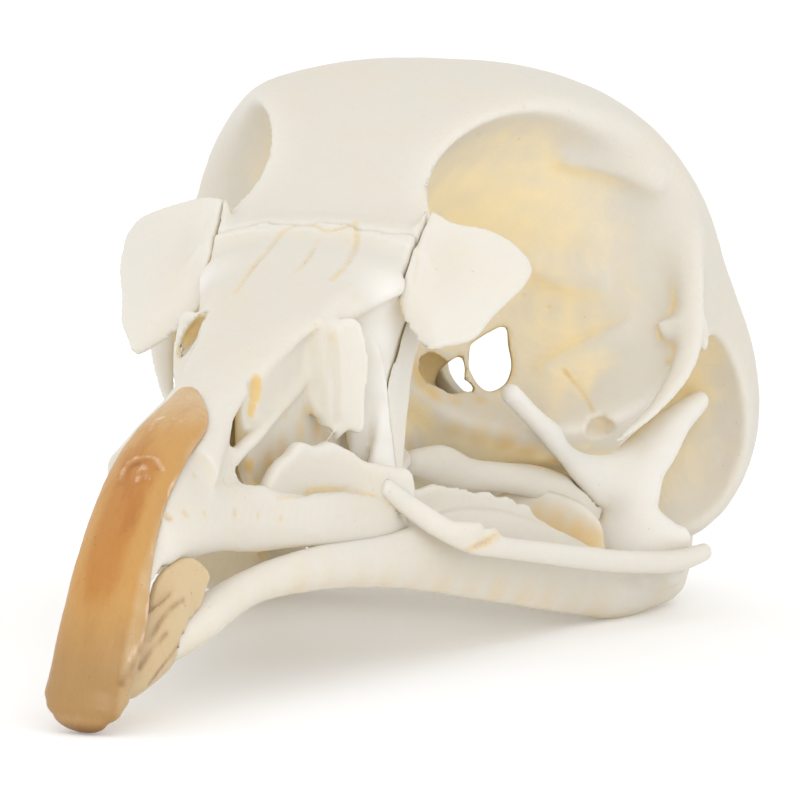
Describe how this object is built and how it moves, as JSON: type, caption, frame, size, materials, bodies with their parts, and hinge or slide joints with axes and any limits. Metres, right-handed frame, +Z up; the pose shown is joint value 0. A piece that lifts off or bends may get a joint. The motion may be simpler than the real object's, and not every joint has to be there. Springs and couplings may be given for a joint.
{
  "type": "chukar skull",
  "caption": "Life-size dry bird skull with hooked horn-tipped bill, large open eye sockets, slender cheek bars and lower jaw, resting upright on bill tip and jaw angles.",
  "frame": {"origin": "centre of the bounding box, on the plane the bill tip and the two jaw angles stand on", "axes": "the bill points along -Y, +X is the bird's left side, +Z is up"},
  "size_m": [0.023, 0.052, 0.0209],
  "materials": {
    "bone": "dry cleaned bone, matt to satin",
    "horn": "dry horn, satin"
  },
  "bodies": {
    "root": {"cranium": "bone", "upper_beak": "bone", "mandible": "bone", "quadrate_left": "bone", "quadrate_right": "bone", "cheek_bar_left": "bone", "cheek_bar_right": "bone", "lacrimal_left": "bone", "lacrimal_right": "bone", "pterygoid_left": "bone", "pterygoid_right": "bone", "palatine_left": "bone", "palatine_right": "bone", "upper_horn": "horn", "lower_horn": "horn"}
  },
  "joints": []
}
